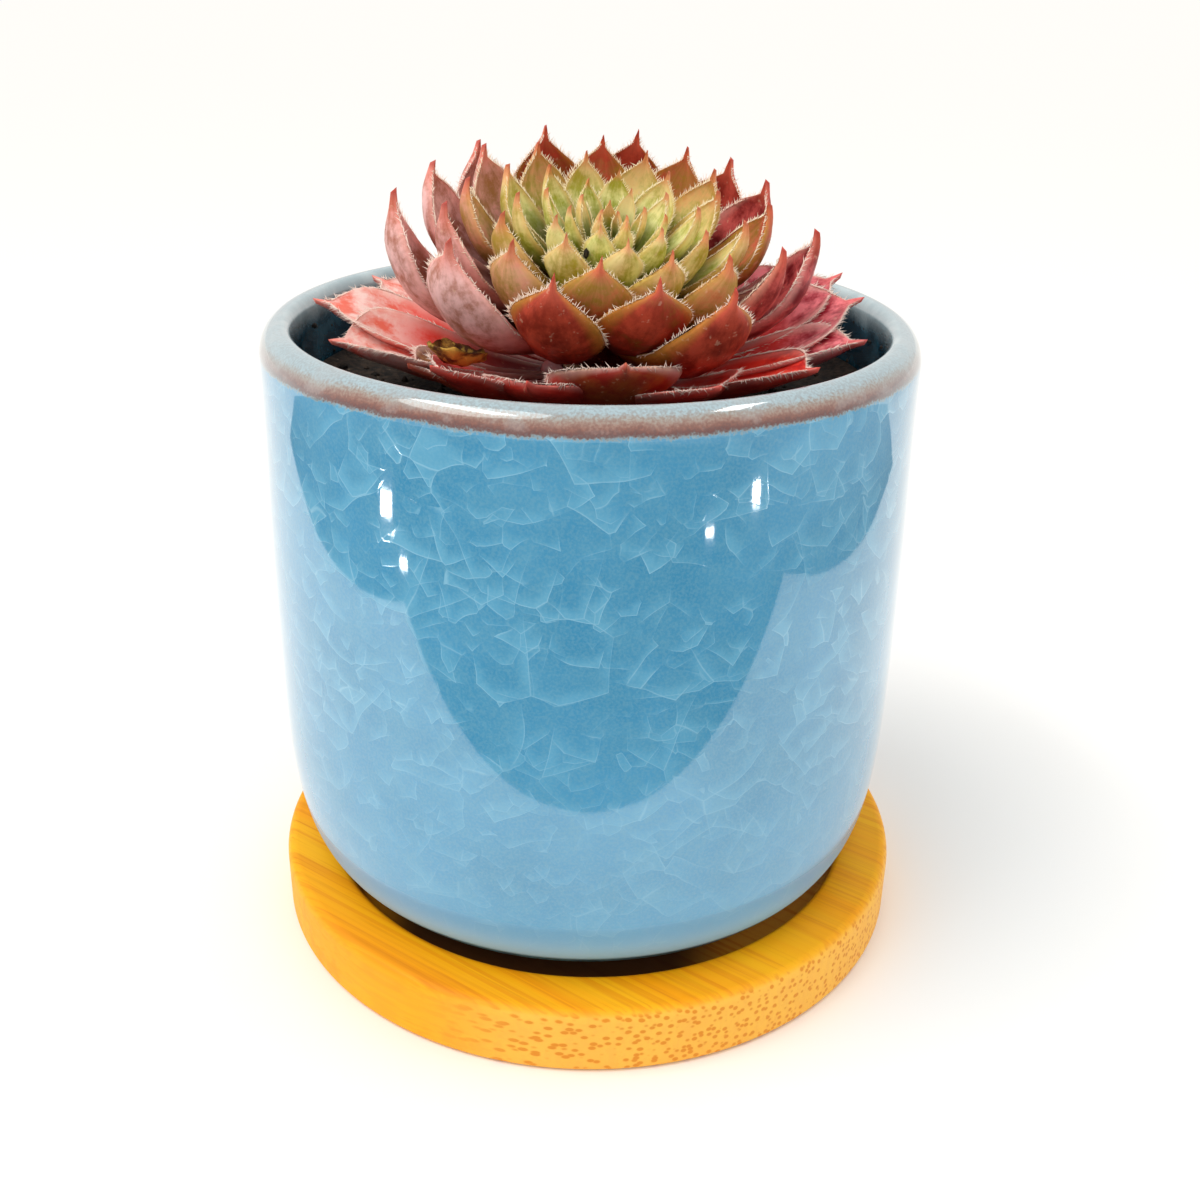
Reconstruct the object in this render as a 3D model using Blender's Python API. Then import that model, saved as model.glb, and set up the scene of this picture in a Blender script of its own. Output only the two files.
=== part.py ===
# Hens and chicks rosette in a glazed pot on a bamboo saucer
# Metres, +Z up, origin under the middle of the saucer.

import math
import random

import bmesh
import bpy
from mathutils import Vector

MM = 0.001

# Saucer
SAUCER_R = 42.4 * MM
SAUCER_H = 8.8 * MM
RECESS_R = 35.4 * MM
RECESS_FLOOR = 6.3 * MM

# Pot, standing a little off the middle of its saucer
PLACE = Vector((-0.6, 1.7, 0.0)) * MM
POT_R = 40.0 * MM            # outer radius at the rim
POT_TOP = 80.15 * MM
POT_BELLY_R = 40.6 * MM
WALL = 4.1 * MM
LIP_H = 3.6 * MM
FOOT_Z = 6.6 * MM            # underside of the foot ring
FOOT_IN = 27.0 * MM
FOOT_OUT = 31.0 * MM
UNDERSIDE = 8.6 * MM
POT_FLOOR = 12.8 * MM
DRAIN_R = 5.0 * MM
ROUND_SEGS = 48

# Soil and stem
GAP = 0.3 * MM
SOIL_TOP = 70.0 * MM
SOIL_SEGS = 32
STEM_AT = (0.1 * MM, 2.6 * MM)   # from the middle of the pot
STEM_R = 3.6 * MM
STEM_Z = (58.0 * MM, 73.6 * MM)

# Rosette head: leaf k stands at the golden angle from leaf k-1
GOLDEN = math.radians(137.508)
HEAD_AT = Vector((2.41, -1.91, 92.47)) * MM
LEAN_FRONT = 0.2565          # radians, towards -Y
LEAN_RIGHT = 0.1105          # radians, towards +X
PHASE = 1.732
HEAD_REACH = 25.9 * MM
HEAD_FIRST, HEAD_LAST = -3, 53
SPLAYED_IN_HEAD = (51,)      # this one lies open with the lower leaves
HEAD_WIDTH = 12.6 * MM
HEAD_TWIST = math.radians(5)

# Lower leaves: angle round the stem, reach, tip height, width, edge lift, end slope, roll
LOWER_ROOT = (5.2 * MM, 71.9 * MM)
LOWER = (
    (184.0, 34.2, 81.4, 14.6, 0.20, 16, -7), (201.0, 33.0, 78.6, 15.0, 0.34, 10, -9),
    (156.5, 31.9, 81.0, 14.0, 0.20, 20, -4), (230.0, 27.6, 78.6, 12.0, 0.20, 30, -4),
    (217.0, 26.5, 77.2, 13.0, 0.16, 20, -8), (254.0, 25.5, 78.0, 13.5, 0.18, 32, 0),
    (278.0, 26.0, 80.6, 15.4, 0.20, 46, 0), (301.0, 28.0, 77.5, 13.5, 0.18, 22, 4),
    (323.0, 32.0, 78.4, 14.0, 0.20, 18, 4), (343.0, 34.2, 79.2, 13.5, 0.24, 14, 4),
    (1.0, 33.8, 81.8, 15.5, 0.22, 22, 14), (14.0, 33.2, 83.4, 14.0, 0.20, 30, 10),
    (27.0, 31.6, 83.6, 13.5, 0.20, 34, 8), (50.0, 30.0, 82.4, 13.5, 0.20, 32, 0),
    (78.0, 30.5, 82.4, 13.5, 0.20, 34, 0), (104.0, 30.0, 82.4, 13.5, 0.20, 32, 0),
    (131.0, 31.0, 81.6, 13.5, 0.20, 28, 0),
)
# Leaf outline: where it is widest, width of the root, bluntness of the end
HEAD_SHAPE = (0.58, 0.40, 1.7)
OUTER_BLUNT = 1.0            # added to the bluntness of the outermost head leaf
LOWER_SHAPE = (0.66, 0.28, 2.8)
POINT = 0.92                 # the sharp point takes the rest of the length
SEED = 7


def clear_scene():
    for ob in list(bpy.data.objects):
        bpy.data.objects.remove(ob, do_unlink=True)


def material(name, colour, rough, metallic=0.0):
    mat = bpy.data.materials.new(name)
    mat.use_nodes = True
    bsdf = mat.node_tree.nodes["Principled BSDF"]
    bsdf.inputs["Base Color"].default_value = (*colour, 1.0)
    bsdf.inputs["Roughness"].default_value = rough
    bsdf.inputs["Metallic"].default_value = metallic
    return mat


def to_object(bm, name, mat=None):
    bmesh.ops.recalc_face_normals(bm, faces=bm.faces)
    mesh = bpy.data.meshes.new(name)
    bm.to_mesh(mesh)
    bm.free()
    ob = bpy.data.objects.new(name, mesh)
    bpy.context.scene.collection.objects.link(ob)
    if mat:
        mesh.materials.append(mat)
    return ob


def lathe(name, profile, segs, mat=None, bump=None):
    # A closed loop of (r, z) turned about Z. A point with r = 0 becomes one vertex.
    bm = bmesh.new()
    rings = []
    for i, (r, z) in enumerate(profile):
        if r < 1e-9:
            rings.append([bm.verts.new((0.0, 0.0, z))])
            continue
        ring = []
        for j in range(segs):
            turn = 2 * math.pi * j / segs
            lift = bump(i, j) if bump else 0.0
            ring.append(bm.verts.new((r * math.cos(turn), r * math.sin(turn), z + lift)))
        rings.append(ring)
    for a, b in zip(rings, rings[1:] + rings[:1]):
        if len(a) == 1 and len(b) == 1:
            continue
        for j in range(segs):
            n = (j + 1) % segs
            if len(a) == 1:
                bm.faces.new((a[0], b[n], b[j]))
            elif len(b) == 1:
                bm.faces.new((a[j], a[n], b[0]))
            else:
                bm.faces.new((a[j], a[n], b[n], b[j]))
    return to_object(bm, name, mat)


def boolean(ob, operation, other=None, group=None):
    mod = ob.modifiers.new(operation, "BOOLEAN")
    mod.operation = operation
    mod.solver = "EXACT"
    if group:
        mod.operand_type = "COLLECTION"
        mod.collection = group
    else:
        mod.object = other
    graph = bpy.context.evaluated_depsgraph_get()
    mesh = bpy.data.meshes.new_from_object(ob.evaluated_get(graph))
    ob.modifiers.remove(mod)
    ob.data = mesh


def fuse(core, pieces, name, mat):
    # One union over a collection, applied, and the pieces then removed
    group = bpy.data.collections.new(name + "_pieces")
    bpy.context.scene.collection.children.link(group)
    for ob in pieces:
        bpy.context.scene.collection.objects.unlink(ob)
        group.objects.link(ob)
    boolean(core, "UNION", group=group)
    for ob in pieces:
        bpy.data.objects.remove(ob, do_unlink=True)
    bpy.data.collections.remove(group)
    tidy(core)
    core.name = name
    core.data.name = name
    core.data.materials.clear()
    core.data.materials.append(mat)
    return core


def tidy(ob):
    bm = bmesh.new()
    bm.from_mesh(ob.data)
    bmesh.ops.remove_doubles(bm, verts=bm.verts, dist=0.000002)
    bmesh.ops.dissolve_degenerate(bm, edges=bm.edges, dist=0.000002)
    bmesh.ops.triangulate(bm, faces=bm.faces)
    drop_specks(bm)
    bm.to_mesh(ob.data)
    bm.free()


def drop_specks(bm):
    # Keep the one large body and drop any loose speck a union leaves behind
    left, bodies = set(bm.verts), []
    while left:
        body, edge = set(), [left.pop()]
        while edge:
            v = edge.pop()
            body.add(v)
            near = {e.other_vert(v) for e in v.link_edges} & left
            left -= near
            edge.extend(near)
        bodies.append(body)
    bodies.sort(key=len)
    specks = [v for body in bodies[:-1] for v in body]
    bmesh.ops.delete(bm, geom=specks, context="VERTS")


# Saucer: a flat dish with a shallow recess for the pot

def build_saucer():
    r, h = SAUCER_R, SAUCER_H
    profile = [
        (0.0, 0.0), (r - 0.5 * MM, 0.0), (r, 0.5 * MM), (r, h - 1.2 * MM),
        (r - 0.3 * MM, h - 0.35 * MM), (r - 1.1 * MM, h), (RECESS_R + 0.5 * MM, h),
        (RECESS_R, h - 0.4 * MM), (RECESS_R - 0.2 * MM, RECESS_FLOOR + 0.3 * MM),
        (RECESS_R - 0.6 * MM, RECESS_FLOOR), (0.0, RECESS_FLOOR),
    ]
    return lathe("bamboo_saucer", profile, ROUND_SEGS,
                 material("bamboo", (0.85, 0.45, 0.07), 0.5))


# Pot: rounded foot, nearly straight wall, rolled lip, foot ring and drain hole

def outer_wall():
    pts = []
    for z in (9.9, 11.2, 13.6, 17.5, 23.0, 31.0, 42.0):
        u = (42.0 - z) / 34.2
        r = 26.1 * MM + (POT_BELLY_R - 26.1 * MM) * (1 - u ** 4) ** 0.25
        pts.append((r, z * MM))
    pts += [(POT_BELLY_R - 0.15 * MM, 56 * MM), (POT_R + 0.1 * MM, 68 * MM)]
    return pts


def lip():
    top_r = POT_R - 2.7 * MM
    pts = []
    for deg in (0, 25, 48, 70, 90):
        a = math.radians(deg)
        pts.append((top_r + 2.7 * MM * math.cos(a), POT_TOP - LIP_H + LIP_H * math.sin(a)))
    inner_r = POT_R - WALL
    for deg in (30, 60, 90):
        a = math.radians(deg)
        pts.append((top_r - (top_r - inner_r) * math.sin(a),
                    POT_TOP - 2.0 * MM + 2.0 * MM * math.cos(a)))
    return pts


def inner_wall():
    return [(r * MM, z * MM) for r, z in
            ((36.1, 64.0), (36.4, 44.0), (36.0, 28.0), (34.6, 20.0), (31.0, 15.0), (25.0, 13.0))]


def build_pot():
    profile = [
        (FOOT_IN + 0.4 * MM, FOOT_Z), (FOOT_OUT - 0.4 * MM, FOOT_Z),
        (FOOT_OUT, FOOT_Z + 0.4 * MM), (FOOT_OUT + 0.2 * MM, UNDERSIDE),
        (33.3 * MM, UNDERSIDE + 0.4 * MM), (34.9 * MM, UNDERSIDE + 0.75 * MM),
    ]
    profile += outer_wall() + lip() + inner_wall()
    profile += [
        (DRAIN_R + 0.4 * MM, POT_FLOOR), (DRAIN_R, POT_FLOOR - 0.4 * MM),
        (DRAIN_R, UNDERSIDE + 0.4 * MM), (DRAIN_R + 0.4 * MM, UNDERSIDE),
        (FOOT_IN - 0.3 * MM, UNDERSIDE), (FOOT_IN, FOOT_Z + 0.4 * MM),
    ]
    return lathe("ceramic_pot", profile, ROUND_SEGS,
                 material("blue_glaze", (0.13, 0.36, 0.58), 0.12))


# Soil: fills the pot, with a lumpy top and a plain hole for the stem

def build_soil(rng):
    side = [(r - 1.3 * GAP, z + GAP) for r, z in reversed(inner_wall())]
    side = [(0.0, POT_FLOOR + GAP)] + side
    edge = 36.0 * MM - 1.3 * GAP
    top = [(edge, SOIL_TOP + 1.6 * MM), (33.0 * MM, SOIL_TOP + 0.7 * MM),
           (28.5 * MM, SOIL_TOP), (23.0 * MM, SOIL_TOP - 0.2 * MM),
           (17.0 * MM, SOIL_TOP), (11.0 * MM, SOIL_TOP - 0.2 * MM), (0.0, SOIL_TOP - 0.2 * MM)]
    first = len(side)
    lumps = {(i, j): rng.uniform(-0.55, 0.45) * MM
             for i in range(first, first + 6) for j in range(SOIL_SEGS)}
    soil = lathe("potting_soil", side + top, SOIL_SEGS,
                 material("soil", (0.05, 0.035, 0.025), 0.95),
                 bump=lambda i, j: lumps.get((i, j), 0.0))
    hole = lathe("hole", [(0.0, STEM_Z[0] - GAP), (STEM_R + GAP, STEM_Z[0] - GAP),
                          (STEM_R + GAP, 90 * MM), (0.0, 90 * MM)], 16)
    hole.location = (*STEM_AT, 0.0)
    bpy.context.view_layer.update()
    boolean(soil, "DIFFERENCE", other=hole)
    bpy.data.objects.remove(hole, do_unlink=True)
    tidy(soil)
    return soil


def build_stem():
    low, high = STEM_Z
    stem = lathe("stem", [(0.0, low), (STEM_R - 0.5 * MM, low), (STEM_R, low + 0.6 * MM),
                          (STEM_R, high - 0.6 * MM), (STEM_R - 0.6 * MM, high), (0.0, high)],
                 16, material("stem_bark", (0.22, 0.12, 0.06), 0.85))
    for v in stem.data.vertices:
        v.co.x += STEM_AT[0]
        v.co.y += STEM_AT[1]
    return stem


# Leaves: one rule for every leaf, a fleshy blade on a curved line

def curve_at(p0, p1, p2, p3, s):
    q = 1 - s
    point = [q ** 3 * a + 3 * q * q * s * b + 3 * q * s * s * c + s ** 3 * d
             for a, b, c, d in zip(p0, p1, p2, p3)]
    slope = [3 * q * q * (b - a) + 6 * q * s * (c - b) + 3 * s * s * (d - c)
             for a, b, c, d in zip(p0, p1, p2, p3)]
    n = math.hypot(*slope)
    return point, (slope[0] / n, slope[1] / n)


def spine(root, tip, rise0, rise1, pull0=0.45, pull1=0.33):
    # Control points in the plane of the leaf: distance out and height
    span = math.hypot(tip[0] - root[0], tip[1] - root[1])
    p1 = (root[0] + pull0 * span * math.cos(rise0), root[1] + pull0 * span * math.sin(rise0))
    p2 = (tip[0] - pull1 * span * math.cos(rise1), tip[1] - pull1 * span * math.sin(rise1))
    return root, p1, p2, tip


def half_width(s, widest, root, blunt):
    # Share of the greatest half width: narrow root, full shoulders, a short drawn-out point
    if s < widest:
        return root + (1 - root) * math.sin(math.pi / 2 * s / widest)
    if s < POINT:
        return 1 - 0.9 * ((s - widest) / (POINT - widest)) ** blunt
    return 0.1 * (1 - s) / (1 - POINT)


def thickness(s):
    return 0.62 + 0.38 * math.sin(math.pi * min(s / 0.8, 1.0)) if s < 0.4 else 1 - 0.75 * (
        (s - 0.4) / 0.6) ** 1.6


def leaf(name, at, out, up, line, width, thick, cup, shape, stations, roll=0.0):
    # Six points a ring: two edges, one along the upper face, three on the fuller lower face
    across = up.cross(out)
    bm = bmesh.new()
    rings = []
    for s in stations:
        (r, z), (tr, tz) = curve_at(*line, s)
        mid = at + out * r + up * z
        face = up * tr - out * tz
        lean = roll * min(1.0, 2 * s)
        side, face = (across * math.cos(lean) + face * math.sin(lean),
                      face * math.cos(lean) - across * math.sin(lean))
        w = width / 2 * half_width(s, *shape)
        h = thick * thickness(s)
        rim = face * (cup * w)
        rings.append([bm.verts.new(p) for p in (
            mid + side * w + rim, mid, mid - side * w + rim,
            mid - side * (0.55 * w) - face * (0.72 * h) + rim * 0.4,
            mid - face * h,
            mid + side * (0.55 * w) - face * (0.72 * h) + rim * 0.4)])
    (r, z), (tr, tz) = curve_at(*line, 1.0)
    tip = bm.verts.new(at + out * r + up * z)
    for a, b in zip(rings, rings[1:]):
        for i in range(6):
            n = (i + 1) % 6
            bm.faces.new((a[i], a[n], b[n], b[i]))
    for i in range(6):
        bm.faces.new((rings[-1][i], rings[-1][(i + 1) % 6], tip))
    bm.faces.new(list(reversed(rings[0])))
    bmesh.ops.triangulate(bm, faces=bm.faces)
    return to_object(bm, name)


def head_frame():
    up = Vector((math.sin(LEAN_RIGHT), -math.sin(LEAN_FRONT) * math.cos(LEAN_RIGHT),
                 math.cos(LEAN_FRONT) * math.cos(LEAN_RIGHT)))
    right = (Vector((1, 0, 0)) - up * up.x).normalized()
    return right, up.cross(right), up


def head_leaf(k, rng):
    # t runs from 0 at the heart to 1 at the outermost leaf
    t = (k + 3.578) / 58.578
    reach = HEAD_REACH * t ** 0.857
    x = reach / (25 * MM)
    height = (7.675 * x - 6.35 * x * x) * MM
    if k == 50:
        height -= 1.6 * MM
    if k == 52:
        reach -= 1.5 * MM
    root = (0.6 * MM + 3.6 * MM * t, -5.5 * MM - 10.9 * MM * t ** 0.8)
    line = spine(root, (reach, height), math.radians(70 - 66 * t), math.radians(96),
                 0.42 + 0.18 * t, 0.33 + 0.08 * t)
    width = min(HEAD_WIDTH, 1.4 * MM + 12.8 * MM * t ** 1.12) * rng.uniform(0.94, 1.06)
    thick = (1.0 + 1.5 * t) * MM
    shape = (HEAD_SHAPE[0], HEAD_SHAPE[1], HEAD_SHAPE[2] + OUTER_BLUNT * t)
    return PHASE + k * GOLDEN, line, width, thick, shape, HEAD_TWIST * math.sin(2.4 * k)


def build_head(rng):
    right, back, up = head_frame()
    core = lathe("core", [(0.0, -18.2 * MM), (5.4 * MM, -17.9 * MM), (6.6 * MM, -16.0 * MM),
                          (5.6 * MM, -12.0 * MM), (3.0 * MM, -7.5 * MM), (0.0, -4.6 * MM)], 14)
    for v in core.data.vertices:
        v.co = HEAD_AT + right * v.co.x + back * v.co.y + up * v.co.z
    leaves = []
    for k in range(HEAD_FIRST, HEAD_LAST + 1):
        turn, line, width, thick, shape, twist = head_leaf(k, rng)
        if k in SPLAYED_IN_HEAD:
            continue
        out = right * math.cos(turn) + back * math.sin(turn)
        stations = (0, 0.3, 0.56, 0.72, 0.84, POINT) if k > 20 else (
            (0, 0.35, 0.62, 0.85) if k > 6 else (0, 0.5, 0.8))
        leaves.append(leaf("leaf", HEAD_AT, out, up, line, width, thick, 0.24,
                           shape, stations, twist))
    return fuse(core, leaves, "rosette_head", material("leaf_green_red", (0.30, 0.18, 0.07), 0.5))


def build_lower(rng):
    ring = lathe("collar", [(STEM_R + 0.4 * MM, 70.6 * MM), (6.2 * MM, 70.6 * MM),
                            (7.0 * MM, 71.5 * MM), (6.2 * MM, 72.8 * MM),
                            (STEM_R + 0.4 * MM, 72.9 * MM)], 18)
    for v in ring.data.vertices:
        v.co.x += STEM_AT[0]
        v.co.y += STEM_AT[1]
    at = Vector((*STEM_AT, 0.0))
    up = Vector((0, 0, 1))
    leaves = []
    for deg, reach, tip_z, width, cup, slope, roll in LOWER:
        a = math.radians(deg)
        out = Vector((math.cos(a), math.sin(a), 0.0))
        root = (LOWER_ROOT[0], LOWER_ROOT[1] + rng.uniform(-0.25, 0.25) * MM)
        line = spine(root, (reach * MM, tip_z * MM), math.radians(4), math.radians(slope))
        leaves.append(leaf("leaf", at, out, up, line, width * MM, 2.0 * MM, cup,
                           LOWER_SHAPE, (0, 0.3, 0.52, 0.7, 0.84, POINT), math.radians(roll)))
    return fuse(ring, leaves, "splayed_leaves", material("leaf_pink", (0.55, 0.12, 0.10), 0.5))


def build_withered():
    # A dry curled scrap lying on the lower leaves at the front left
    at = Vector((-12.2, -10.8, 0.0)) * MM
    a = math.radians(200)
    out = Vector((math.cos(a), math.sin(a), 0.0))
    line = spine((0.0, 77.7 * MM), (6.6 * MM, 80.0 * MM), math.radians(-14), math.radians(64))
    ob = leaf("withered_leaf", at, out, Vector((0, 0, 1)), line, 5.0 * MM, 0.9 * MM, 0.55,
              HEAD_SHAPE, (0, 0.25, 0.45, 0.65, 0.85))
    ob.data.materials.append(material("dry_leaf", (0.42, 0.24, 0.05), 0.8))
    return ob


clear_scene()
draw = random.Random(SEED)
build_saucer()
for piece in (build_pot(), build_soil(draw), build_stem(), build_head(draw),
              build_lower(draw), build_withered()):
    for v in piece.data.vertices:
        v.co += PLACE
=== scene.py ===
# %% [markdown]
# # Hens and chicks in a crackle-glazed pot
# This lesson dresses a plain solid model of a small houseleek rosette, its blue pot and its
# bamboo saucer. The solids give every size and place. Each cell below adds one thing: a finer
# leaf, a fringe of hairs, a glaze, a grain. Run the cells from top to bottom.

# %% Load the solid model
import math
import random

import bmesh
import bpy
from mathutils import Matrix, Vector, noise


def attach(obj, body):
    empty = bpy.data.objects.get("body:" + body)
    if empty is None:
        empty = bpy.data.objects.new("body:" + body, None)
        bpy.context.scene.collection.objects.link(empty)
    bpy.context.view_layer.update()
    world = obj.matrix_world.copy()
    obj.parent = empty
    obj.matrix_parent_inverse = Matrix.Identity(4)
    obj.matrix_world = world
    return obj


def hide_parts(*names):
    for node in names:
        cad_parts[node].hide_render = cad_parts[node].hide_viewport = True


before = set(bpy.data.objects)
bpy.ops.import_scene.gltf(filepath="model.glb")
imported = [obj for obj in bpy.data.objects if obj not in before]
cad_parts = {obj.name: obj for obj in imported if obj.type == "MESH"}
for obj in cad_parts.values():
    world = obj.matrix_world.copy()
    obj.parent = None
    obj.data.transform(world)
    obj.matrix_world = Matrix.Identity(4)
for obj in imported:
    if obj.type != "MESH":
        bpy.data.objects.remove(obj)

MM = 0.001
NOISE_SEED = 11
noise.seed_set(NOISE_SEED)    # without it, noise_vector starts from the clock and differs each run
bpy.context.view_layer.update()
print("solids:", sorted(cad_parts))

# %% [markdown]
# ## Shader maths in plain Python
# A material is a web of nodes, and long webs are hard to read. One small class wraps a
# socket, so that `1 - mask` or `age * 0.4` adds the Math node for us. A second class holds
# the material: `node` adds any other node, from its type, its settings and its inputs.

# %% A socket that takes part in sums
class Wire:
    def __init__(self, finish, socket):
        self.finish, self.socket = finish, socket

    def sum(self, operation, other, swap=False):
        pair = (other, self) if swap else (self, other)
        return self.finish.node("ShaderNodeMath", {"operation": operation},
                                {0: pair[0], 1: pair[1]})

    def __add__(self, other):
        return self.sum("ADD", other)

    def __sub__(self, other):
        return self.sum("SUBTRACT", other)

    def __rsub__(self, other):
        return self.sum("SUBTRACT", other, swap=True)

    def __mul__(self, other):
        return self.sum("MULTIPLY", other)

    def __truediv__(self, other):
        return self.sum("DIVIDE", other)

    def __pow__(self, other):
        return self.sum("POWER", other)

    __radd__, __rmul__ = __add__, __mul__

    def size(self):
        return self.finish.node("ShaderNodeMath", {"operation": "ABSOLUTE"}, {0: self})

    def rise(self, low, high):
        # 0 below low, 1 above high, smooth between; it falls instead where high is below low
        if isinstance(low, Wire):
            share = (self - high) / (low - high)
            return 1 - share.rise(0.0, 1.0)
        up = low < high
        out = self.finish.node("ShaderNodeMapRange", {"interpolation_type": "SMOOTHSTEP"},
                               {0: self, 1: min(low, high), 2: max(low, high)})
        return out if up else 1 - out


# %% A material made of such sockets
class Finish:
    def __init__(self, name, **fixed):
        self.mat = bpy.data.materials.new(name)
        self.mat.use_nodes = True
        self.tree = self.mat.node_tree
        self.shader = self.tree.nodes["Principled BSDF"]
        for key, value in fixed.items():
            self.shader.inputs[key.replace("_", " ")].default_value = value

    def node(self, kind, settings=None, inputs=None, out=0):
        made = self.tree.nodes.new(kind)
        for key, value in (settings or {}).items():
            if key == "stops":
                ramp = made.color_ramp
                while len(ramp.elements) < len(value):
                    ramp.elements.new(0.5)
                for element, (place, colour) in zip(ramp.elements, value):
                    element.position, element.color = place, (*colour, 1)
            else:
                setattr(made, key, value)
        for key, value in (inputs or {}).items():
            self.plug(made.inputs[key], value)
        return Wire(self, made.outputs[out])

    def plug(self, socket, value):
        if isinstance(value, Wire):
            self.tree.links.new(value.socket, socket)
        elif isinstance(value, tuple) and len(value) == 3 and socket.type == "RGBA":
            socket.default_value = (*value, 1)
        else:
            socket.default_value = value

    def mix(self, share, first, second):
        settings = {"data_type": "RGBA", "clamp_factor": True}
        return self.node("ShaderNodeMix", settings, {0: share, 6: first, 7: second}, out=2)

    def place(self):
        return self.node("ShaderNodeTexCoord", out=3)

    def vector(self, operation, a, b, out=0):
        return self.node("ShaderNodeVectorMath", {"operation": operation}, {0: a, 1: b}, out=out)

    def parts(self, vector):
        split = self.node("ShaderNodeSeparateXYZ", None, {0: vector})
        return [Wire(self, socket) for socket in split.socket.node.outputs]

    def join(self, x, y, z):
        return self.node("ShaderNodeCombineXYZ", None, {0: x, 1: y, 2: z})

    def marked(self, name):
        return self.node("ShaderNodeAttribute", {"attribute_name": name}, out=2)

    def clouds(self, at, scale, detail=3.0, rough=0.55):
        return self.node("ShaderNodeTexNoise", None,
                         {"Vector": at, "Scale": scale, "Detail": detail, "Roughness": rough})

    def cells(self, at, scale, feature="F1", out="Distance"):
        return self.node("ShaderNodeTexVoronoi", {"feature": feature},
                         {"Vector": at, "Scale": scale}, out=out)

    def bump(self, height, distance, strength=1.0):
        return self.node("ShaderNodeBump", None,
                         {"Height": height, "Distance": distance, "Strength": strength})

    def show(self, **driven):
        for key, value in driven.items():
            self.plug(self.shader.inputs[key.replace("_", " ")], value)
        return self.mat

# %% [markdown]
# ## Camera and light
# The camera stands 165 mm in front of the pot and 121 mm up, and looks down at 26 degrees.
# The light is high-key: a bright sky all round, one broad soft key from the upper left, two
# soft panels above and a white table. A dark card beyond the white sheet stands in for the dark
# room as a painted reflection. Only mirror rays see it, so the table stays pale but the glaze
# reflects the sheet's clean edge.

# %% Camera
def aim_camera():
    at = Vector((-0.4, -163.83, 120.68)) * MM
    pitch, yaw, roll = 0.4481, 0.009, -0.0189
    ahead = Vector((math.sin(yaw) * math.cos(pitch), math.cos(yaw) * math.cos(pitch),
                    -math.sin(pitch)))
    level = Vector((math.cos(yaw), -math.sin(yaw), 0))
    down = ahead.cross(level)
    right = level * math.cos(roll) + down * math.sin(roll)
    down = down * math.cos(roll) - level * math.sin(roll)
    turn = Matrix((right, -down, -ahead)).transposed().to_4x4()
    camera = bpy.data.cameras.new("camera")
    camera.sensor_width = 36
    camera.lens = 40.832
    camera.clip_start = 0.01
    ob = bpy.data.objects.new("camera", camera)
    ob.matrix_world = Matrix.Translation(at) @ turn
    bpy.context.scene.collection.objects.link(ob)
    bpy.context.scene.camera = ob
    print("camera lens in mm:", camera.lens)


aim_camera()


# %% Lamps and flat sheets
def add_panel(name, at, target, size, power, colour):
    lamp = bpy.data.lights.new(name, "AREA")
    lamp.shape, lamp.size, lamp.size_y = "RECTANGLE", size[0], size[1]
    lamp.energy, lamp.color = power, colour
    ob = bpy.data.objects.new(name, lamp)
    ob.location = at
    ob.rotation_euler = (Vector(target) - Vector(at)).to_track_quat("-Z", "Y").to_euler()
    bpy.context.scene.collection.objects.link(ob)


def flat(name, corners, faces, mat):
    mesh = bpy.data.meshes.new(name)
    mesh.from_pydata(corners, [], faces)
    mesh.materials.append(mat)
    ob = bpy.data.objects.new(name, mesh)
    bpy.context.scene.collection.objects.link(ob)
    return ob


# %% Light, table and the card for the painted reflection
# Small lamps low beside the pot: place in mm, width and height in metres, watts
GLINTS = (
    ((-159.0, -78.5, 16.5), (0.013, 0.004), 0.005),
    ((-138.0, -89.0, 11.0), (0.008, 0.002), 0.0014),
    ((136.0, -111.0, 21.0), (0.008, 0.003), 0.002),
    ((103.0, -142.0, 16.0), (0.008, 0.0015), 0.0010),
)


TABLE_REACH, CARD_REACH, CARD_Z = 6.0, 1.5, 0.001
# The sheet's edges in metres, as the glaze mirrors them: the sides slant outwards to the back
SHEET = ((-0.138, -0.089), (0.163, -0.084), (0.191, 0.108), (-0.214, 0.098))
CARD_BACK = 0.13


def painted_reflection_skin():
    # Painted reflection of the dark room: nearly black in front of the pot, greyer far out to each
    # side, where the room is lighter
    f = Finish("painted_reflection_card", Roughness=0.9)
    x = f.parts(f.place())[0]
    shade = f.mix(x.rise(0.12, 0.28), (0.02, 0.04, 0.06), (0.42, 0.45, 0.48))
    shade = f.mix(x.rise(-0.15, -0.33), shade, (0.18, 0.20, 0.22))
    return f.show(Base_Color=shade)


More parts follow.
